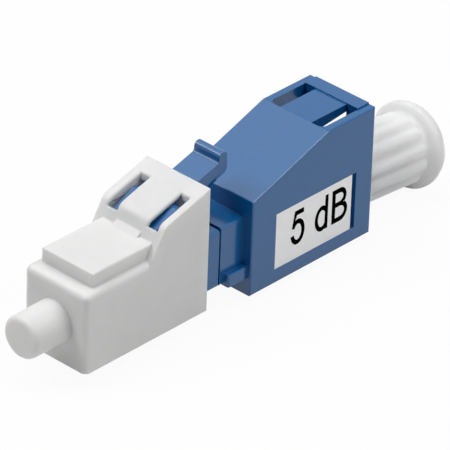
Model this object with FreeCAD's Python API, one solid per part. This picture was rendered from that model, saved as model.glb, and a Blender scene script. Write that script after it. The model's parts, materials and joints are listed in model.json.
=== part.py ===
import FreeCAD
import Part
import math
import os

# LC fibre attenuator, in millimetres.
# The origin is the tip of the plug's ferrule, on the optical axis.
# +X runs from the plug to the port, +Z is up, and the label is on the -Y side.

Vector = FreeCAD.Vector
AXIS_X = Vector(1, 0, 0)
AXIS_Y = Vector(0, 1, 0)
ORIGIN = Vector(0, 0, 0)
NEAR = 0.001

# Ferrule, fibre and collar
ferrule_d = 1.249
ferrule_length = 16.4
ferrule_tip_d = 0.80
ferrule_tip_taper = 0.35
fibre_d = 0.125
fibre_glue = 0.001
ferrule_reach = 3.9
collar_flats = 2.4
collar_head_length = 1.2
collar_taper = 0.25
collar_tail_d = 1.7
collar_tail_length = 1.0
collar_bond = 0.005

# Plug body
plug_size = 4.5
plug_body_length = 8.67
plug_edge_round = 0.25
nose_chamfer = 0.4
nose_recess_d = 2.7
nose_recess_depth = 1.2
seat_web = 1.2
ferrule_room = 0.1
chamber_room = 0.23
spigot_size = 3.6
spigot_length = 2.33
spigot_fit = 0.03
seam_gap = 0.10

# Latch: hinge, arm, lugs and thumb end
latch_width = 2.33
latch_length = 10.32
latch_slope = 16.3
hinge_setback = 0.85
hinge_lift = 0.07
hinge_radius = 0.40
hinge_running = 0.05
bend_run = 2.85
bend_rise = 1.05
arm_thickness = 0.68
crest_run = 5.30
crest_rise = 3.19
crest_depth = 1.69
tail_depth = 1.31
lever_bevel_width = 0.16
lever_bevel_height = 0.45
thumb_thickness = 0.77
thumb_rise = 0.68
thumb_round_share = 0.47
thumb_foot_round = 0.22
lug_span = 4.02
lug_rear_run = 5.45
lug_round = 0.715
lug_rise = 0.02
lug_depth = 1.25
lug_web_drop = 0.12
lug_ramp_run = 2.75
lug_ramp_slope = 24.0

# Spring and sleeve
spring_wire_d = 0.28
spring_wire_sides = 5
spring_mean_d = 2.2
spring_turns = 4
sleeve_length = 6.8
sleeve_d = 1.62
sleeve_running = 0.0155
sleeve_slit = 0.22
sleeve_float = 0.05
holder_front_wall = 1.75
holder_lip = 0.30
holder_lip_chamfer = 0.15
holder_tube_d = 2.5
holder_fit = 0.03
holder_collar_room = 0.10
holder_collar_thickness = 0.5

# Rear housing
neck_width = 4.57
neck_top = 2.38
neck_bottom = 2.20
neck_length = 2.23
neck_edge_round = 0.2
ear_depth = 0.465
ear_length = 1.84
ear_top = 1.35
ear_bottom = 2.30
ear_round = 0.15
housing_width = 6.15
housing_top = 6.36
housing_bottom = 3.65
housing_edge_round = 0.12
shoulder_front = 3.75
shoulder_run = 7.36
shoulder_round = 0.7
shoulder_wall = 0.95
side_wall = 0.625
port_floor_room = 0.10
port_web = 1.9
catch_play = 0.05
catch_drop = 1.36
bar_length = 1.15
window_corner = 0.45
lever_room = 0.275
lever_ceiling_slope = 6.1
bar_rise = 0.11

# Label
label_height = 4.39
label_front = 2.385
label_back = 2.065
label_bottom = 2.52
label_thickness = 0.28
label_gap = 0.40
label_recess = 0.02

# Plug dust cap
cap_fit = 0.05
cap_side_wall = 0.61
cap_floor = 0.70
cap_ledge_wall = 0.75
cap_front_wall = 0.50
cap_tip_room = 0.28
cap_pad_wall = 0.50
cap_pad_room = 0.34
cap_pad_width = 4.66
cap_pad_setback = 1.105
cap_channel_width = 3.30
cap_roof_room = 0.33
cap_roof_wall = 0.33
cap_bridge = 1.40
cap_shoulder_run = 2.71
cap_shoulder_angle = 60.0
cap_shoulder_round = 0.9
cap_shoulder_wall = 0.20
slot_end_room = 0.15
slot_nose = 0.26
slot_lug_room = 0.26
strip_half = 1.45
slot_soft = 0.22
cap_relief = 0.09
cap_relief_top = 4.95
cap_edge_round = 0.45
cap_back_chamfer = 0.12
pad_edge_chamfer = 0.05
ramp_width = 2.34
ramp_run = 0.30
ramp_rise = 0.31
stub_d = 3.15
stub_length = 3.27
stub_tip_round = 0.40

# Port dust plug
droop = 4.5
stem_d = 3.96
stem_room = 0.70
stem_length = 7.9
stem_rest = 0.05
grip_gap = 0.35
grip_root_d = 4.76
grip_crest_d = 5.36
grip_ribs = 12
grip_first_rib = 8.5
grip_end = 6.90
grip_foot_round = 0.25
rib_d = 1.00
rib_setback = 0.26
bore_end = 5.0
flange_d = 6.39
flange_back_d = 5.95
flange_thickness = 0.88
flange_land = 0.45
flange_edge_run = 0.12
flange_edge_drop = 0.25

# Places along the axis
nose_x = ferrule_reach
seat_x = nose_x + nose_recess_depth + seat_web
collar_rear_x = seat_x + collar_head_length
mating_x = ferrule_length
seam_x = nose_x + plug_body_length
spigot_end_x = seam_x + spigot_length
neck_front_x = seam_x + seam_gap
housing_front_x = neck_front_x + neck_length
socket_end_x = spigot_end_x + holder_collar_thickness
port_floor_x = socket_end_x + port_web
shoulder_x = housing_front_x + shoulder_run
sleeve_front_x = mating_x - sleeve_length / 2
sleeve_back_x = mating_x + sleeve_length / 2
holder_front_x = sleeve_front_x - sleeve_float - holder_front_wall
holder_back_x = sleeve_back_x + sleeve_float + holder_lip

# Half sizes and radii
ferrule_r = ferrule_d / 2
collar_corner = collar_flats / math.sqrt(3)
chamber_r = collar_corner + chamber_room / 2
plug_half = plug_size / 2
latch_half = latch_width / 2
lug_half = lug_span / 2
port_half = housing_width / 2 - side_wall
cap_inner_half = plug_half + cap_fit
cap_half = cap_inner_half + cap_side_wall

# Latch places
latch_tan = math.tan(math.radians(latch_slope))
hinge_x = nose_x + hinge_setback
hinge_z = plug_half + hinge_lift
bend_x = nose_x + bend_run
bend_top = plug_half + bend_rise
crest_x = nose_x + crest_run
crest_top = plug_half + crest_rise
tail_x = nose_x + latch_length
lug_rear_x = nose_x + lug_rear_run
lug_toe_x = lug_rear_x - lug_ramp_run


def lever_top(x):
    """Height of the latch's straight top at x."""
    return crest_top + (x - crest_x) * latch_tan


lug_top = lever_top(lug_rear_x) + lug_rise
catch_x = mating_x + lug_rear_x + catch_play
housing_back_x = catch_x + bar_length

# Cap places
slot_rear_x = lug_rear_x + slot_end_room
slot_half = lug_half + slot_lug_room
cap_back_x = slot_rear_x + cap_bridge
cap_front_x = -cap_tip_room - cap_front_wall
cap_bottom = -cap_inner_half - cap_floor
ledge_top = cap_inner_half + cap_ledge_wall
channel_top = bend_top + cap_pad_room
pad_top = channel_top + cap_pad_wall
cap_shoulder_x = nose_x + cap_shoulder_run
slot_front_x = cap_shoulder_x - slot_nose
cap_tan = math.tan(math.radians(cap_shoulder_angle))


def roof_inside(x):
    """Height of the underside of the cap's sloped roof at x."""
    return lever_top(x) + cap_roof_room


def roof_outside(x):
    """Height of the cap's sloped roof at x."""
    return roof_inside(x) + cap_roof_wall


# Plain shapes

def block(x0, x1, y0, y1, z0, z1):
    """Box between two corners."""
    return Part.makeBox(x1 - x0, y1 - y0, z1 - z0, Vector(x0, y0, z0))


def rod(radius, x0, x1):
    """Cylinder on the optical axis."""
    return Part.makeCylinder(radius, x1 - x0, Vector(x0, 0, 0), AXIS_X)


def prism(outline, y0, y1):
    """Side outline of (x, z) points, pulled from y0 to y1."""
    points = [Vector(x, y0, z) for x, z in outline]
    return Part.Face(Part.makePolygon(points + points[:1])).extrude(Vector(0, y1 - y0, 0))


def turned(outline):
    """Solid of revolution about the optical axis from (x, radius) points."""
    points = [Vector(x, 0, radius) for x, radius in outline]
    return Part.Face(Part.makePolygon(points + points[:1])).revolve(ORIGIN, AXIS_X, 360)


def edges_on(shape, x=None, y=None, z=None):
    """Edges that lie wholly at the given coordinates."""
    found = []
    for edge in shape.Edges:
        box = edge.BoundBox
        spans = ((box.XMin, box.XMax, x), (box.YMin, box.YMax, y), (box.ZMin, box.ZMax, z))
        if all(at is None or max(abs(low - at), abs(high - at)) < NEAR for low, high, at in spans):
            found.append(edge)
    return found


def rim_edges(shape, skin, x=None, y=None):
    """Edges at x or y that lie on the outside of another solid."""
    shell = skin.Shells[0]
    found = []
    for edge in edges_on(shape, x=x, y=y):
        middle = edge.valueAt((edge.FirstParameter + edge.LastParameter) / 2)
        if shell.distToShape(Part.Vertex(middle))[0] < NEAR:
            found.append(edge)
    return found


def mirrored(shape):
    """The shape and its mirror image across the middle plane."""
    return shape.fuse(shape.mirror(ORIGIN, AXIS_Y))


def one_solid(shape):
    """The shape's solid, with split faces joined."""
    return shape.removeSplitter().Solids[0]


# Optical core

def make_ferrule():
    bore = fibre_d / 2 + fibre_glue
    tip = ferrule_tip_d / 2
    end = ferrule_length
    return turned([(0, bore), (0, tip), (ferrule_tip_taper, ferrule_r),
                   (end - ferrule_tip_taper, ferrule_r), (end, tip), (end, bore)])


def make_fibre():
    return rod(fibre_d / 2, 0, ferrule_length)


def make_collar():
    corners = [Vector(seat_x, collar_corner * math.cos(a), collar_corner * math.sin(a))
               for a in (math.radians(60 * i) for i in range(6))]
    head = Part.Face(Part.makePolygon(corners + corners[:1])).extrude(AXIS_X * collar_head_length)
    seat = turned([(seat_x, 0), (seat_x, collar_corner - collar_taper),
                   (seat_x + collar_taper, collar_corner), (collar_rear_x, collar_corner), (collar_rear_x, 0)])
    tail = rod(collar_tail_d / 2, collar_rear_x, collar_rear_x + collar_tail_length)
    bore = rod(ferrule_r + collar_bond, seat_x, collar_rear_x + collar_tail_length)
    return one_solid(head.common(seat).fuse(tail).cut(bore))


def make_spring():
    """Coil whose wire has a few flat sides, to keep its faces few."""
    wire_r = spring_wire_d / 2
    run = holder_front_x - collar_rear_x - spring_wire_d
    helix = Part.makeHelix(run / spring_turns, run, spring_mean_d / 2)
    helix.rotate(ORIGIN, AXIS_Y, 90)
    helix.translate(Vector(collar_rear_x + wire_r, 0, 0))
    first = helix.Edges[0]
    start = first.valueAt(first.FirstParameter)
    along = first.tangentAt(first.FirstParameter)
    corner = along.cross(AXIS_X).normalize() * wire_r
    turn = FreeCAD.Rotation(along, 360 / spring_wire_sides)
    corners = []
    for _ in range(spring_wire_sides):
        corners.append(start + corner)
        corner = turn.multVec(corner)
    sweep = Part.BRepOffsetAPI.MakePipeShell(Part.Wire(helix.Edges))
    sweep.setFrenetMode(True)
    sweep.add(Part.makePolygon(corners + corners[:1]))
    sweep.build()
    sweep.makeSolid()
    return sweep.shape()


def make_sleeve():
    tube = rod(sleeve_d / 2, sleeve_front_x, sleeve_back_x)
    tube = tube.cut(rod(ferrule_r + sleeve_running, sleeve_front_x, sleeve_back_x))
    slit = block(sleeve_front_x, sleeve_back_x, -sleeve_slit / 2, sleeve_slit / 2, 0, sleeve_d)
    return one_solid(tube.cut(slit))


def make_holder():
    pocket = sleeve_d / 2 + sleeve_float
    passage = ferrule_r + ferrule_room
    tube = holder_tube_d / 2
    front = chamber_r - holder_fit
    collar = (spigot_size - holder_collar_room) / 2
    pocket_front = sleeve_front_x - sleeve_float
    pocket_back = sleeve_back_x + sleeve_float
    return turned([(holder_front_x, passage), (holder_front_x, front), (spigot_end_x, front),
                   (spigot_end_x, collar), (socket_end_x, collar), (socket_end_x, tube),
                   (holder_back_x, tube), (holder_back_x, passage + holder_lip_chamfer),
                   (holder_back_x - holder_lip_chamfer, passage), (pocket_back, passage),
                   (pocket_back, pocket), (pocket_front, pocket), (pocket_front, passage)])


# Plug body and latch

def make_plug_frame():
    body = block(nose_x, seam_x, -plug_half, plug_half, -plug_half, plug_half)
    long_edges = [e for y in (-plug_half, plug_half) for z in (-plug_half, plug_half)
                  for e in edges_on(body, y=y, z=z)]
    body = body.makeFillet(plug_edge_round, long_edges)
    nose_half = plug_half - nose_chamfer
    taper_x = nose_x + nose_chamfer
    taper = prism([(nose_x, -nose_half), (taper_x, -plug_half), (seam_x, -plug_half),
                   (seam_x, plug_half), (taper_x, plug_half), (nose_x, nose_half)], -plug_half, plug_half)
    body = body.common(taper)
    taper.rotate(ORIGIN, AXIS_X, 90)
    body = body.common(taper)
    spigot_half = spigot_size / 2
    spigot = block(seam_x, spigot_end_x, -spigot_half, spigot_half, -spigot_half, spigot_half)
    recess_end = nose_x + nose_recess_depth
    passage = ferrule_r + ferrule_room
    bore = turned([(nose_x, 0), (nose_x, nose_recess_d / 2), (recess_end, nose_recess_d / 2),
                   (recess_end, passage), (seat_x, passage), (seat_x, chamber_r),
                   (spigot_end_x, chamber_r), (spigot_end_x, 0)])
    groove_half = latch_half + hinge_running
    groove = Part.makeCylinder(hinge_radius + hinge_running, 2 * groove_half,
                               Vector(hinge_x, -groove_half, hinge_z), AXIS_Y)
    return one_solid(body.fuse(spigot).cut(bore).cut(groove))


def make_latch():
    thumb_front = tail_x - thumb_thickness
    thumb_foot = lever_top(thumb_front)
    thumb_top = thumb_foot + thumb_rise
    crest_low = crest_top - crest_depth
    tail_low = lever_top(tail_x) - tail_depth
    arm = prism([(hinge_x, hinge_z + hinge_radius), (bend_x, bend_top), (crest_x, crest_top),
                 (thumb_front, thumb_foot), (thumb_front, thumb_top), (tail_x, thumb_top),
                 (tail_x, tail_low), (crest_x, crest_low),
                 (bend_x, bend_top - arm_thickness), (hinge_x, hinge_z)], -latch_half, latch_half)
    thumb_edges = edges_on(arm, x=thumb_front, z=thumb_top) + edges_on(arm, x=tail_x, z=thumb_top)
    arm = arm.makeFillet(thumb_thickness * thumb_round_share, thumb_edges)
    arm = arm.makeFillet(thumb_foot_round, edges_on(arm, x=thumb_front, z=thumb_foot))
    corner = [Vector(crest_x, latch_half, crest_low), Vector(crest_x, latch_half, crest_low + lever_bevel_height),
              Vector(crest_x, latch_half - lever_bevel_width, crest_low)]
    bevel = Part.Face(Part.makePolygon(corner + corner[:1])).extrude(
        Vector(tail_x - crest_x, 0, tail_low - crest_low))
    arm = arm.cut(mirrored(bevel))
    knuckle = Part.makeCylinder(hinge_radius, latch_width, Vector(hinge_x, -latch_half, hinge_z), AXIS_Y)
    return one_solid(arm.fuse(knuckle).fuse(make_lugs()))


def lug_bar(half, top):
    """Round-backed bar across the latch with a long ramp in front and a square rear."""
    low = lug_top - lug_depth
    centre = Vector(lug_rear_x - lug_round, -half, top - lug_round)
    slope = math.radians(lug_ramp_slope)
    start = centre + Vector(-math.sin(slope), 0, math.cos(slope)) * lug_round
    crown = centre + Vector(0, 0, lug_round)
    rear = centre + Vector(lug_round, 0, 0)
    toe_z = start.z - (start.x - lug_toe_x) * math.tan(slope)
    back = Part.Arc(start, crown, rear).toShape()
    rest = Part.makePolygon([rear, Vector(lug_rear_x, -half, low), Vector(lug_toe_x, -half, low),
                             Vector(lug_toe_x, -half, toe_z), start])
    return Part.Face(Part.Wire([back] + rest.Edges)).extrude(Vector(0, 2 * half, 0))


def make_lugs():
    """Side lugs on a lower web that stays clear of the cap's roof."""
    web_half = strip_half + cap_fit
    middle = block(lug_toe_x, lug_rear_x, -web_half, web_half, lug_top - lug_depth, lug_top)
    return lug_bar(lug_half, lug_top).cut(middle).fuse(lug_bar(web_half, lug_top - lug_web_drop))


# Rear housing

def shoulder_height(x):
    """Height of the housing's sloped shoulder at x."""
    return shoulder_front + (x - housing_front_x) * (housing_top - shoulder_front) / shoulder_run


def make_housing():
    half = housing_width / 2
    body = prism([(housing_front_x, -housing_bottom), (housing_back_x, -housing_bottom),
                  (housing_back_x, housing_top), (shoulder_x, housing_top),
                  (housing_front_x, shoulder_front)], -half, half)
    body = body.makeFillet(shoulder_round, edges_on(body, x=shoulder_x, z=housing_top))
    rim = [e for y in (-half, half) for e in edges_on(body, y=y)]
    rim += edges_on(body, x=housing_front_x, z=shoulder_front)
    body = body.makeFillet(housing_edge_round, rim)
    bar = block(catch_x, housing_back_x, -port_half, port_half,
                housing_top - side_wall, housing_top + bar_rise)
    body = body.fuse(bar).fuse(make_neck())
    body = body.cut(make_port()).cut(make_windows()).cut(make_socket()).cut(make_label_pocket())
    return one_solid(body)


def make_neck():
    half = neck_width / 2
    neck = block(neck_front_x, housing_front_x, -half, half, -neck_bottom, neck_top)
    long_edges = [e for y in (-half, half) for z in (-neck_bottom, neck_top)
                  for e in edges_on(neck, y=y, z=z)]
    neck = neck.makeFillet(neck_edge_round, long_edges)
    ear = block(housing_front_x - ear_length, housing_front_x, -half - ear_depth, -half + neck_edge_round,
                -ear_bottom, -ear_top)
    outer = edges_on(ear, x=housing_front_x - ear_length, y=-half - ear_depth)
    outer += edges_on(ear, y=-half - ear_depth, z=-ear_top)
    ear = ear.makeFillet(ear_round, outer)
    return neck.fuse(mirrored(ear))


def ceiling(x):
    """Height of the port's ceiling behind the shoulder, where the mating latch passes."""
    return housing_top - shoulder_wall + (x - shoulder_x) * math.tan(math.radians(lever_ceiling_slope))


def make_port():
    """Square port with the latch space above it and a narrow way out for the lever."""
    floor = -plug_half - port_floor_room
    lever_half = latch_half + lever_room
    catch_bottom = housing_top - catch_drop
    back = housing_back_x
    inner_top = shoulder_height(port_floor_x) - shoulder_wall
    low = block(port_floor_x, back, -port_half, port_half, floor, catch_bottom)
    room = prism([(port_floor_x, floor), (catch_x, floor), (catch_x, ceiling(catch_x)),
                  (shoulder_x, ceiling(shoulder_x)), (port_floor_x, inner_top)], -port_half, port_half)
    low = low.common(prism([(port_floor_x, floor), (back, floor), (back, catch_bottom),
                            (shoulder_x, catch_bottom), (port_floor_x, inner_top)], -port_half, port_half))
    way = prism([(shoulder_x, floor), (back, floor), (back, ceiling(back)),
                 (shoulder_x, ceiling(shoulder_x))], -lever_half, lever_half)
    return low.fuse(room).fuse(way)


def make_windows():
    """Two openings in the top for the mating latch's lugs."""
    lever_half = latch_half + lever_room
    window = block(shoulder_x, catch_x, lever_half, port_half, ceiling(shoulder_x) - side_wall,
                   housing_top + bar_rise)
    window = window.makeFillet(window_corner, edges_on(window, x=shoulder_x, y=port_half))
    return mirrored(window)


def make_socket():
    """Hole for the plug body's spigot and the sleeve holder."""
    half = spigot_size / 2 + spigot_fit
    socket = block(neck_front_x, socket_end_x, -half, half, -half, half)
    return socket.fuse(rod(holder_tube_d / 2 + holder_fit, socket_end_x, port_floor_x))


def label_box(extra_length, depth, recess):
    side = -housing_width / 2 + recess
    return block(housing_front_x + label_front, housing_back_x - label_back + extra_length,
                 side, side + depth, -label_bottom, -label_bottom + label_height)


def make_label_pocket():
    return label_box(label_gap, label_recess + label_thickness, 0)


def make_label():
    return label_box(0, label_thickness, label_recess)


# Plug dust cap

def make_cap():
    body = block(cap_front_x, cap_back_x, -cap_half, cap_half, cap_bottom, ledge_top)
    kink_top = roof_outside(cap_shoulder_x)
    back_top = roof_outside(cap_back_x)
    rise_x = cap_shoulder_x - (kink_top - ledge_top) / cap_tan
    upper = prism([(rise_x, ledge_top), (cap_shoulder_x, kink_top), (cap_back_x, back_top),
                   (cap_back_x, ledge_top)], -cap_half, cap_half)
    upper = upper.makeFillet(cap_shoulder_round, edges_on(upper, x=cap_shoulder_x, z=kink_top))
    pad_half = cap_pad_width / 2
    pad_front = cap_front_x + cap_pad_setback
    pad = block(pad_front, cap_shoulder_x, -pad_half, pad_half, cap_bottom, pad_top)
    pad_edges = edges_on(pad, x=pad_front, z=pad_top)
    for y in (-pad_half, pad_half):
        pad_edges += edges_on(pad, y=y, z=pad_top)
    pad = pad.makeChamfer(pad_edge_chamfer, pad_edges)
    body = one_solid(body.fuse(upper).fuse(pad))
    corners = edges_on(body, x=cap_front_x, z=ledge_top)
    for y in (-cap_half, cap_half):
        corners += edges_on(body, x=cap_front_x, y=y) + edges_on(body, y=y, z=ledge_top)
    body = body.makeFillet(cap_edge_round, corners)
    pad_end_x = rise_x + (pad_top - ledge_top) / cap_tan
    ramp_end_x = pad_end_x + ramp_rise / cap_tan
    ramp = prism([(pad_end_x - ramp_run, pad_top), (ramp_end_x, pad_top + ramp_rise), (ramp_end_x, ledge_top),
                  (pad_end_x - ramp_run, ledge_top)], -ramp_width / 2, ramp_width / 2)
    body = body.fuse(ramp)
    back_edges = edges_on(body, x=cap_back_x, z=back_top)
    for y in (-cap_half, cap_half):
        back_edges += edges_on(body, x=cap_back_x, y=y)
    body = body.makeChamfer(cap_back_chamfer, back_edges)
    body = body.cut(make_cap_slots())
    rims = rim_edges(body, upper, x=slot_rear_x)
    for y in (-slot_half, -strip_half, strip_half, slot_half):
        rims += rim_edges(body, upper, y=y)
    body = body.makeFillet(slot_soft, rims)
    stub = rod(stub_d / 2, cap_front_x - stub_length, cap_front_x + cap_front_wall / 2)
    stub = stub.makeFillet(stub_tip_round, edges_on(stub, x=cap_front_x - stub_length))
    return one_solid(body.fuse(stub).cut(make_cap_cavity()))


def latch_room(half, top=roof_outside(cap_back_x)):
    """Space for the latch behind the slots' front ends, under the cap's roof and no higher than top."""
    wall = cap_shoulder_wall / math.sin(math.radians(cap_shoulder_angle))
    front_top = roof_outside(cap_shoulder_x) - (cap_shoulder_x + wall - slot_front_x) * cap_tan
    kink_x = slot_front_x + (roof_inside(slot_front_x) - front_top) / (cap_tan - latch_tan)
    room = prism([(slot_front_x, front_top), (kink_x, roof_inside(kink_x)),
                  (cap_back_x, roof_inside(cap_back_x)), (cap_back_x, 0), (slot_front_x, 0)], -half, half)
    return room.common(block(slot_front_x, cap_back_x, -half, half, 0, top))


def make_cap_cavity():
    """Room for the plug body, the latch arm under the pad, and the latch under the roof."""
    inner = cap_inner_half
    front = cap_front_x + cap_front_wall
    plug_room = block(front, cap_back_x, -inner, inner, -inner, inner)
    channel_half = cap_channel_width / 2
    channel = block(cap_front_x + cap_pad_setback + cap_pad_wall, cap_shoulder_x,
                    -channel_half, channel_half, 0, channel_top)
    lever_way = latch_room(strip_half)
    lug_way = latch_room(slot_half, lug_top + cap_fit)
    relief = latch_room(slot_half + cap_relief, cap_relief_top)
    return plug_room.fuse(channel).fuse(lever_way).fuse(lug_way).fuse(relief)


def make_cap_slots():
    """Two slots over the latch lugs."""
    slot = block(slot_front_x, slot_rear_x, strip_half, slot_half, channel_top, roof_outside(cap_back_x))
    return mirrored(slot)


# Port dust plug

def make_rib(angle):
    """Round rib of the grip with a round nose, at an angle from the top."""
    radius = rib_d / 2
    out = grip_crest_d / 2 - radius
    turned_by = math.radians(angle)
    start = Vector(grip_gap, -out * math.sin(turned_by), out * math.cos(turned_by))
    run = AXIS_X * (grip_end - rib_setback - radius - grip_gap)
    return Part.makeCylinder(radius, run.Length, start, AXIS_X).fuse(Part.makeSphere(radius, start + run))


def make_dust_plug():
    """Dust plug along its own axis, then drooped and set on the port's floor."""
    root = grip_root_d / 2
    rim = flange_d / 2
    stem = stem_d / 2
    bore = (holder_tube_d + stem_room) / 2
    flange_end = grip_end + flange_thickness
    bow = grip_foot_round * (1 - math.sqrt(0.5))
    plug = turned([(grip_gap, root), (grip_end - grip_foot_round, root), (grip_end - bow, root + bow),
                   (grip_end, root + grip_foot_round), (grip_end, rim - flange_edge_drop),
                   (grip_end + flange_edge_run, rim), (grip_end + flange_land, rim),
                   (flange_end, flange_back_d / 2), (flange_end, 0), (bore_end, 0), (bore_end, bore),
                   (-stem_length, bore), (-stem_length, stem), (grip_gap, stem)])
    ribs = [make_rib(grip_first_rib + i * 360 / grip_ribs) for i in range(grip_ribs)]
    plug = one_solid(plug.fuse(ribs))
    plug.rotate(ORIGIN, AXIS_Y, droop)
    floor = -plug_half - port_floor_room
    seat_z = floor + stem_d / 2 / math.cos(math.radians(droop)) + stem_rest
    plug.translate(Vector(housing_back_x, 0, seat_z))
    return plug


pieces = {
    "rear_housing": make_housing,
    "plug_frame": make_plug_frame,
    "latch_lever": make_latch,
    "ferrule": make_ferrule,
    "attenuating_fibre": make_fibre,
    "ferrule_flange": make_collar,
    "ferrule_spring": make_spring,
    "sleeve_holder": make_holder,
    "split_sleeve": make_sleeve,
    "value_label": make_label,
    "plug_dust_cap": make_cap,
    "port_dust_plug": make_dust_plug,
}

os.makedirs("parts", exist_ok=True)
for name, make in pieces.items():
    shape = make()
    print(name, shape.ShapeType, len(shape.Solids), shape.isValid(), round(shape.Volume, 3))
    shape.exportStep("parts/" + name + ".step")
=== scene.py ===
"""Looks of the LC fibre attenuator: finishes, print, parting line, floor, light and camera.

Everything is in metres in the CAD frame: +X runs from the plug to the port, +Z is up, and the
label faces -Y.
"""

import json
import math

import bpy
from mathutils import Matrix, Vector

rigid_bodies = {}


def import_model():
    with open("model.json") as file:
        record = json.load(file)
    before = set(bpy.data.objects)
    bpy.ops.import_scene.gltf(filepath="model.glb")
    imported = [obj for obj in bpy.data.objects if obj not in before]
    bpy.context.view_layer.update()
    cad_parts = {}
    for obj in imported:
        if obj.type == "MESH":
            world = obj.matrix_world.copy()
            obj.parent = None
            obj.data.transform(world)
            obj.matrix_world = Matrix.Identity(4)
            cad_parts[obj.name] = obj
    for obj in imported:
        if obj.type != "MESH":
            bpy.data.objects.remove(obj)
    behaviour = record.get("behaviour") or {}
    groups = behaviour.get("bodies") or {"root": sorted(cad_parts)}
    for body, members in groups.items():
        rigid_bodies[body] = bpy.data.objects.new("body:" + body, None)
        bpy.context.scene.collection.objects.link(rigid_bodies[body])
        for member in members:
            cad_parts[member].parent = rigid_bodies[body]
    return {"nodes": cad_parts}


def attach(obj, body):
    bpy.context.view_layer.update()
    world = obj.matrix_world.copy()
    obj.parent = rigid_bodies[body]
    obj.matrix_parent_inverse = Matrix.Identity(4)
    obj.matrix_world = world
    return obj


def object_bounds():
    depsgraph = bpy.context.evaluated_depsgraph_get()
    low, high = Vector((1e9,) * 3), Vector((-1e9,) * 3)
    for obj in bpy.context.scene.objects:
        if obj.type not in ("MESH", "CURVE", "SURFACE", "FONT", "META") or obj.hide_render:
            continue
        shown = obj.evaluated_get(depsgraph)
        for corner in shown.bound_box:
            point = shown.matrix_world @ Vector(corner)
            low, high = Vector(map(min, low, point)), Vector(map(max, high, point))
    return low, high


for leftover in list(bpy.data.objects):
    bpy.data.objects.remove(leftover)

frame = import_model()
cad_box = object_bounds()
nodes = frame["nodes"]
MM = 0.001
MICRON = 0.000001


def placed(name, data):
    """A new object in the scene."""
    thing = bpy.data.objects.new(name, data)
    bpy.context.scene.collection.objects.link(thing)
    return thing


# ---------------------------------------------------------------- materials

NOISE_LOW, NOISE_HIGH = 0.3, 0.7
TONE_DETAIL, GLOSS_DETAIL, GRAIN_DETAIL = 3.0, 2.0, 2.0
PLAIN_ROUGHNESS, GRAIN_ROUGHNESS = 0.5, 0.6
EDGE_SAMPLES = 16


def link(tree, source, target):
    tree.links.new(source, target)


def noise(tree, coords, scale, detail, roughness=PLAIN_ROUGHNESS):
    """A noise texture on the object's own coordinates; scale is in features per metre."""
    node = tree.nodes.new("ShaderNodeTexNoise")
    node.inputs["Scale"].default_value = scale
    node.inputs["Detail"].default_value = detail
    node.inputs["Roughness"].default_value = roughness
    link(tree, coords, node.inputs["Vector"])
    return node.outputs["Fac"]


def spread(tree, fac, low, high):
    """Maps the middle of a noise to the range low..high."""
    node = tree.nodes.new("ShaderNodeMapRange")
    node.inputs["From Min"].default_value = NOISE_LOW
    node.inputs["From Max"].default_value = NOISE_HIGH
    node.inputs["To Min"].default_value = low
    node.inputs["To Max"].default_value = high
    link(tree, fac, node.inputs["Value"])
    return node.outputs["Result"]


def two_tones(tree, fac, dark, light):
    """Maps the middle of a noise to the colours from dark to light."""
    ramp = tree.nodes.new("ShaderNodeValToRGB")
    first, last = ramp.color_ramp.elements
    first.position, last.position = NOISE_LOW, NOISE_HIGH
    first.color, last.color = (*dark, 1.0), (*light, 1.0)
    link(tree, fac, ramp.inputs["Fac"])
    return ramp.outputs["Color"]


def finish_of(
    name, dark, light, tone_scale, gloss, gloss_scale, grain, grain_scale, soft=0.0, **sockets
):
    """A procedural finish: two close tones, a roughness range and a fine surface grain.

    grain is the grain's depth and soft the moulded edges' radius, in metres; the named sockets
    are constants of the shader.
    """
    material = bpy.data.materials.new(name)
    material.use_nodes = True
    tree = material.node_tree
    shader = tree.nodes["Principled BSDF"]
    coords = tree.nodes.new("ShaderNodeTexCoord").outputs["Object"]
    tone = two_tones(tree, noise(tree, coords, tone_scale, TONE_DETAIL), dark, light)
    link(tree, tone, shader.inputs["Base Color"])
    roughness = spread(tree, noise(tree, coords, gloss_scale, GLOSS_DETAIL), *gloss)
    link(tree, roughness, shader.inputs["Roughness"])
    bump = tree.nodes.new("ShaderNodeBump")
    bump.inputs["Strength"].default_value = 1.0
    bump.inputs["Distance"].default_value = grain
    relief = noise(tree, coords, grain_scale, GRAIN_DETAIL, GRAIN_ROUGHNESS)
    link(tree, relief, bump.inputs["Height"])
    if soft:
        edges = tree.nodes.new("ShaderNodeBevel")
        edges.samples = EDGE_SAMPLES
        edges.inputs["Radius"].default_value = soft
        link(tree, edges.outputs["Normal"], bump.inputs["Normal"])
    link(tree, bump.outputs["Normal"], shader.inputs["Normal"])
    for socket, value in sockets.items():
        shader.inputs[socket.replace("_", " ")].default_value = value
    return material


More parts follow.
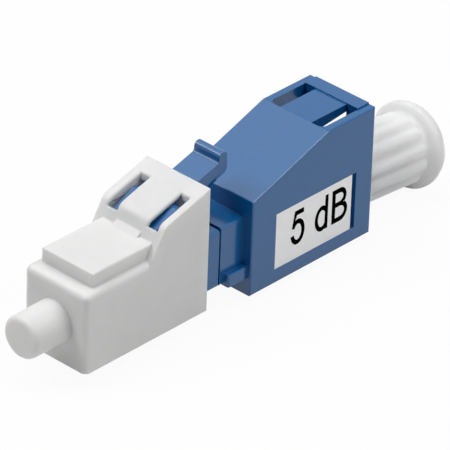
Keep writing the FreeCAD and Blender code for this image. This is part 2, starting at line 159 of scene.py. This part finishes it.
blue_plastic = finish_of(
    "moulded_blue",
    dark=(0.002, 0.096, 0.283),
    light=(0.004, 0.112, 0.325),
    tone_scale=9000.0,
    gloss=(0.15, 0.22),
    gloss_scale=2600.0,
    grain=2 * MICRON,
    grain_scale=9000.0,
    soft=0.03 * MM,
    IOR=1.53,
)
cap_plastic = finish_of(
    "moulded_white",
    dark=(0.731, 0.730, 0.725),
    light=(0.753, 0.752, 0.747),
    tone_scale=900.0,
    gloss=(0.42, 0.52),
    gloss_scale=1800.0,
    grain=2 * MICRON,
    grain_scale=6000.0,
    soft=0.18 * MM,
    Subsurface_Weight=0.55,
    Subsurface_Radius=(1.0, 0.95, 0.9),
    Subsurface_Scale=0.9 * MM,
)
port_plug_plastic = finish_of(
    "moulded_soft_white",
    dark=(0.825, 0.825, 0.821),
    light=(0.845, 0.845, 0.841),
    tone_scale=800.0,
    gloss=(0.38, 0.48),
    gloss_scale=1500.0,
    grain=2 * MICRON,
    grain_scale=6000.0,
    soft=0.3 * MM,
    Subsurface_Weight=1.0,
    Subsurface_Radius=(1.0, 0.98, 0.95),
    Subsurface_Scale=3.5 * MM,
)
label_film = finish_of(
    "label_film",
    dark=(0.955, 0.955, 0.955),
    light=(0.970, 0.970, 0.970),
    tone_scale=4000.0,
    gloss=(0.28, 0.36),
    gloss_scale=3000.0,
    grain=1 * MICRON,
    grain_scale=9000.0,
    Specular_IOR_Level=0.8,
)
ink = finish_of(
    "black_ink",
    dark=(0.0008, 0.0008, 0.0008),
    light=(0.0016, 0.0016, 0.0016),
    tone_scale=9000.0,
    gloss=(0.5, 0.62),
    gloss_scale=5000.0,
    grain=1 * MICRON,
    grain_scale=12000.0,
    Specular_IOR_Level=0.0,
)
zirconia = finish_of(
    "zirconia",
    dark=(0.82, 0.815, 0.80),
    light=(0.86, 0.855, 0.84),
    tone_scale=2500.0,
    gloss=(0.10, 0.17),
    gloss_scale=4000.0,
    grain=0.4 * MICRON,
    grain_scale=15000.0,
    IOR=2.1,
    Subsurface_Weight=0.2,
    Subsurface_Scale=0.3 * MM,
)
fibre_glass = finish_of(
    "doped_fibre",
    dark=(0.88, 0.90, 0.90),
    light=(0.94, 0.95, 0.95),
    tone_scale=30000.0,
    gloss=(0.03, 0.07),
    gloss_scale=20000.0,
    grain=0.1 * MICRON,
    grain_scale=40000.0,
    Transmission_Weight=0.9,
    IOR=1.46,
)
collar_metal = finish_of(
    "nickelled_brass",
    dark=(0.62, 0.58, 0.49),
    light=(0.70, 0.66, 0.57),
    tone_scale=2500.0,
    gloss=(0.22, 0.34),
    gloss_scale=6000.0,
    grain=0.8 * MICRON,
    grain_scale=14000.0,
    Metallic=1.0,
)
spring_steel = finish_of(
    "spring_steel",
    dark=(0.50, 0.50, 0.51),
    light=(0.62, 0.62, 0.62),
    tone_scale=7000.0,
    gloss=(0.24, 0.38),
    gloss_scale=9000.0,
    grain=0.8 * MICRON,
    grain_scale=16000.0,
    Metallic=1.0,
)
holder_plastic = finish_of(
    "holder_plastic",
    dark=(0.79, 0.79, 0.77),
    light=(0.83, 0.83, 0.81),
    tone_scale=5000.0,
    gloss=(0.34, 0.44),
    gloss_scale=2600.0,
    grain=3 * MICRON,
    grain_scale=7000.0,
)

FINISHES = {
    "rear_housing": blue_plastic,
    "plug_frame": blue_plastic,
    "latch_lever": blue_plastic,
    "plug_dust_cap": cap_plastic,
    "port_dust_plug": port_plug_plastic,
    "value_label": label_film,
    "ferrule": zirconia,
    "split_sleeve": zirconia,
    "attenuating_fibre": fibre_glass,
    "ferrule_flange": collar_metal,
    "ferrule_spring": spring_steel,
    "sleeve_holder": holder_plastic,
}
for node_name, finish in FINISHES.items():
    for slot in nodes[node_name].material_slots:
        slot.material = finish


# ---------------------------------------------------------------- the label's print

# Outlines are in the label's x and z, in millimetres; squeezes give the x that stays in place and
# the share of the width that is left.
PRINT_FACE_Y = -3.055 * MM
PRINT_RISE = 0.004 * MM
BASELINE = -1.38
CAP_TOP = 1.30
STROKE = 0.38
BEND_STEPS, BOWL_STEPS = 14, 28
FIVE_SQUEEZE, D_SQUEEZE, B_SQUEEZE = (19.50, 0.83), (21.88, 0.86), (22.93, 0.92)


def arc(centre, radii, first, last, steps):
    """Points on an ellipse from one angle to the other, in degrees."""
    turn = [math.radians(first + (last - first) * i / steps) for i in range(steps + 1)]
    return [(centre[0] + radii[0] * math.cos(a), centre[1] + radii[1] * math.sin(a)) for a in turn]


def five():
    """A bowl that is open on its left, a leaning stem and a top bar."""
    bowl, outer, inner = (19.50, -0.42), (0.85, 1.01), (0.45, 0.64)
    outer_turn, inner_turn = (193, 492), (145, -165)
    stem_right, stem_left, stem_foot = (19.17, 0.50), (18.79, -0.03), (19.10, -0.08)
    bar_left, bar_inside, bar_right, bar_low = 19.09, 19.36, 20.19, CAP_TOP - STROKE
    outline = arc(bowl, outer, *outer_turn, BOWL_STEPS)[:-1]
    outline += [stem_right, (bar_inside, bar_low), (bar_right, bar_low)]
    outline += [(bar_right, CAP_TOP), (bar_left, CAP_TOP), stem_left, stem_foot]
    return [outline + arc(bowl, inner, *inner_turn, BOWL_STEPS)]


def letter_d():
    """A bowl with a tall stem on its right."""
    bowl, outer, inner = (21.93, -0.42), (0.81, 1.01), (0.44, 0.66)
    left, right = 22.28, 22.64
    out_angle = math.degrees(math.acos((left - bowl[0]) / outer[0]))
    in_angle = math.degrees(math.acos((left - bowl[0]) / inner[0]))
    outline = arc(bowl, outer, out_angle, 360 - out_angle, BOWL_STEPS)
    outline += [(left, BASELINE), (right, BASELINE), (right, CAP_TOP), (left, CAP_TOP)]
    return [outline, arc(bowl, inner, in_angle, 360 - in_angle, BOWL_STEPS)]


def hole_of_b(left, centre, radii):
    """A hole that is straight on its left and round on its right."""
    bend = arc(centre, radii, -90, 90, BEND_STEPS)
    return [(left, centre[1] - radii[1])] + bend + [(left, centre[1] + radii[1])]


def letter_b():
    """A stem with two bowls on its right."""
    left, waist = 22.93, 0.03
    upper_half, lower_half = (CAP_TOP - waist) / 2, (waist - BASELINE) / 2
    upper_x, upper_reach, upper_turn = 23.80, 0.70, (-52, 90)
    lower_x, lower_reach, lower_turn = 23.86, 0.78, (-90, 62)
    upper_r, lower_r = upper_half + STROKE / 4, lower_half + STROKE / 4
    upper = (upper_x, CAP_TOP - upper_r), (upper_reach, upper_r)
    lower = (lower_x, BASELINE + lower_r), (lower_reach, lower_r)
    outline = [(left, BASELINE)] + arc(*lower, *lower_turn, BEND_STEPS)
    outline += arc(*upper, *upper_turn, BEND_STEPS) + [(left, CAP_TOP)]

    hole_left = left + STROKE
    top_hole_x, top_hole_reach, top_hole_r = 23.77, 0.39, upper_half - 0.75 * STROKE
    low_hole_x, low_hole_reach, low_hole_r = 23.83, 0.46, lower_half - 0.75 * STROKE
    top_hole = (top_hole_x, CAP_TOP - STROKE - top_hole_r), (top_hole_reach, top_hole_r)
    low_hole = (low_hole_x, BASELINE + STROKE + low_hole_r), (low_hole_reach, low_hole_r)
    return [outline, hole_of_b(hole_left, *top_hole), hole_of_b(hole_left, *low_hole)]


def narrowed(loops, about, share):
    """Outlines squeezed along x towards one place."""
    return [[(about + (x - about) * share, z) for x, z in loop] for loop in loops]


def printed(name, loops):
    """A filled flat letter on the label's face."""
    curve = bpy.data.curves.new(name + "_outline", "CURVE")
    curve.dimensions = "2D"
    curve.fill_mode = "BOTH"
    curve.extrude = PRINT_RISE
    for loop in loops:
        spline = curve.splines.new("POLY")
        spline.points.add(len(loop) - 1)
        for point, (x, z) in zip(spline.points, loop):
            point.co = (x * MM, z * MM, 0.0, 1.0)
        spline.use_cyclic_u = True
    outline = placed(name + "_outline", curve)
    bpy.context.view_layer.update()
    filled = outline.evaluated_get(bpy.context.evaluated_depsgraph_get())
    mesh = bpy.data.meshes.new_from_object(filled)
    bpy.data.objects.remove(outline)
    upright = Matrix.Rotation(math.radians(90), 4, "X")
    mesh.transform(Matrix.Translation((0.0, PRINT_FACE_Y, 0.0)) @ upright)
    mesh.materials.clear()
    mesh.materials.append(ink)
    letter = placed(name, mesh)
    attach(letter, "housing")


printed("label_five", narrowed(five(), *FIVE_SQUEEZE))
printed("label_d", narrowed(letter_d(), *D_SQUEEZE))
printed("label_b", narrowed(letter_b(), *B_SQUEEZE))


# ---------------------------------------------------------------- the mould's parting line

PARTING_HALF = 0.035 * MM
PARTING_RISE = 0.025 * MM
SLOPE_FOOT, SLOPE_HEAD = (15.02, 3.79), (21.30, 6.02)
BEAD_FACES = [(0, 1, 2), (5, 4, 3), (0, 3, 4, 1), (1, 4, 5, 2), (2, 5, 3, 0)]


def parting_line():
    """Fine three-sided bead along the middle of the housing's sloped shoulder."""
    corners = []
    for x, z in (SLOPE_FOOT, SLOPE_HEAD):
        corners += [
            (x * MM, -PARTING_HALF, z * MM - PARTING_RISE),
            (x * MM, PARTING_HALF, z * MM - PARTING_RISE),
            (x * MM, 0.0, z * MM + PARTING_RISE),
        ]
    mesh = bpy.data.meshes.new("parting_line")
    mesh.from_pydata(corners, [], BEAD_FACES)
    mesh.materials.append(blue_plastic)
    bead = placed("parting_line", mesh)
    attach(bead, "housing")


parting_line()


# ---------------------------------------------------------------- floor, light and camera

WHITE = (1.0, 1.0, 1.0, 1.0)
AMBIENT = 0.01
FLOOR_HALF = 0.9
FLOOR_DARK, FLOOR_LIGHT = (0.80, 0.80, 0.80), (0.82, 0.82, 0.82)
FLOOR_TONE_SCALE, FLOOR_TONE_DETAIL = 60.0, 2.0
FLOOR_ROUGHNESS, FLOOR_SPECULAR = 0.9, 0.1
FLOOR_SHOWN_WHITE = 0.94

LIGHT_AIM = (0.0155, 0.0, 0.0)
SOFTBOX_SIZE = 0.30
SOFTBOXES = {
    "overhead": {"place": (0.015, 0.0, 0.60), "watts": 1.58},
    "far_left": {"place": (-0.257, 0.273, 0.460), "watts": 1.67},
    "near_right": {"place": (0.211, -0.368, 0.432), "watts": 1.28},
    "far_right": {"place": (0.109, 0.349, 0.479), "watts": 0.33},
}

CAMERA_AZIMUTH, CAMERA_ELEVATION, CAMERA_ROLL = -47.635, 31.599, 2.074
CAMERA_TARGET = (15.297, -0.207, 0.614)
CAMERA_DISTANCE = 374.782 * MM
CAMERA_LENS, CAMERA_SENSOR = 443.37, 36.0
CAMERA_NEAREST = 0.01


def seen_directly(tree, share):
    """share for rays from the camera, a reflection or a transmission, and 0 for light on things."""
    path = tree.nodes.new("ShaderNodeLightPath")
    first = tree.nodes.new("ShaderNodeMath")
    first.operation = "MAXIMUM"
    second = tree.nodes.new("ShaderNodeMath")
    second.operation = "MAXIMUM"
    scaled = tree.nodes.new("ShaderNodeMath")
    scaled.operation = "MULTIPLY"
    scaled.inputs[1].default_value = share
    link(tree, path.outputs["Is Camera Ray"], first.inputs[0])
    link(tree, path.outputs["Is Glossy Ray"], first.inputs[1])
    link(tree, first.outputs[0], second.inputs[0])
    link(tree, path.outputs["Is Transmission Ray"], second.inputs[1])
    link(tree, second.outputs[0], scaled.inputs[0])
    return scaled.outputs[0]


def mixed(tree, fac, first, second, target):
    """Shows the first shader where fac is 0 and the second where it is 1."""
    mix = tree.nodes.new("ShaderNodeMixShader")
    link(tree, fac, mix.inputs["Fac"])
    link(tree, first, mix.inputs[1])
    link(tree, second, mix.inputs[2])
    link(tree, mix.outputs["Shader"], target)


def build_world():
    """White to look at, with hardly any light of its own."""
    world = bpy.data.worlds.new("studio")
    bpy.context.scene.world = world
    world.use_nodes = True
    tree = world.node_tree
    ambient = tree.nodes["Background"]
    ambient.inputs["Color"].default_value = WHITE
    ambient.inputs["Strength"].default_value = AMBIENT
    shown = tree.nodes.new("ShaderNodeBackground")
    shown.inputs["Color"].default_value = WHITE
    shown.inputs["Strength"].default_value = 1.0
    surface = tree.nodes["World Output"].inputs["Surface"]
    mixed(tree, seen_directly(tree, 1.0), ambient.outputs[0], shown.outputs[0], surface)


def build_floor(height):
    """A pale sheet that is shown almost white, as in a cut-out product picture."""
    mesh = bpy.data.meshes.new("floor")
    signs = ((-1, -1), (1, -1), (1, 1), (-1, 1))
    corners = [(x * FLOOR_HALF, y * FLOOR_HALF, height) for x, y in signs]
    mesh.from_pydata(corners, [], [(0, 1, 2, 3)])
    material = bpy.data.materials.new("white_sweep")
    material.use_nodes = True
    tree = material.node_tree
    paper = tree.nodes["Principled BSDF"]
    coords = tree.nodes.new("ShaderNodeTexCoord").outputs["Object"]
    shade = noise(tree, coords, FLOOR_TONE_SCALE, FLOOR_TONE_DETAIL)
    link(tree, two_tones(tree, shade, FLOOR_DARK, FLOOR_LIGHT), paper.inputs["Base Color"])
    paper.inputs["Roughness"].default_value = FLOOR_ROUGHNESS
    paper.inputs["Specular IOR Level"].default_value = FLOOR_SPECULAR
    shown = tree.nodes.new("ShaderNodeEmission")
    shown.inputs["Color"].default_value = WHITE
    shown.inputs["Strength"].default_value = 1.0
    surface = tree.nodes["Material Output"].inputs["Surface"]
    share = seen_directly(tree, FLOOR_SHOWN_WHITE)
    mixed(tree, share, paper.outputs["BSDF"], shown.outputs[0], surface)
    mesh.materials.append(material)
    floor = placed("floor", mesh)


def softbox(name, place, watts):
    """A square lamp that faces the middle of the part."""
    lamp = bpy.data.lights.new(name, "AREA")
    lamp.shape = "SQUARE"
    lamp.size = SOFTBOX_SIZE
    lamp.energy = watts
    holder = placed(name, lamp)
    holder.location = place
    facing = Vector(LIGHT_AIM) - Vector(place)
    holder.rotation_euler = facing.to_track_quat("-Z", "Y").to_euler()


def build_camera():
    """The view that was fitted to the photograph."""
    azimuth, elevation = math.radians(CAMERA_AZIMUTH), math.radians(CAMERA_ELEVATION)
    roll = math.radians(CAMERA_ROLL)
    flat = math.cos(elevation)
    back = Vector((math.sin(azimuth) * flat, -math.cos(azimuth) * flat, math.sin(elevation)))
    level = Vector((0.0, 0.0, 1.0)).cross(back).normalized()
    rise = back.cross(level)
    right = math.cos(roll) * level + math.sin(roll) * rise
    up = math.cos(roll) * rise - math.sin(roll) * level
    place = Vector(CAMERA_TARGET) * MM + CAMERA_DISTANCE * back
    turn = Matrix((right, up, back)).transposed().to_quaternion()
    camera = placed("camera", bpy.data.cameras.new("camera"))
    camera.data.lens = CAMERA_LENS
    camera.data.sensor_width = CAMERA_SENSOR
    camera.data.clip_start = CAMERA_NEAREST
    camera.matrix_world = Matrix.LocRotScale(place, turn, None)
    bpy.context.scene.camera = camera


build_world()
build_floor(cad_box[0].z)
for lamp_name, lamp_setting in SOFTBOXES.items():
    softbox(lamp_name, **lamp_setting)
build_camera()
bpy.context.scene.view_settings.view_transform = "Standard"
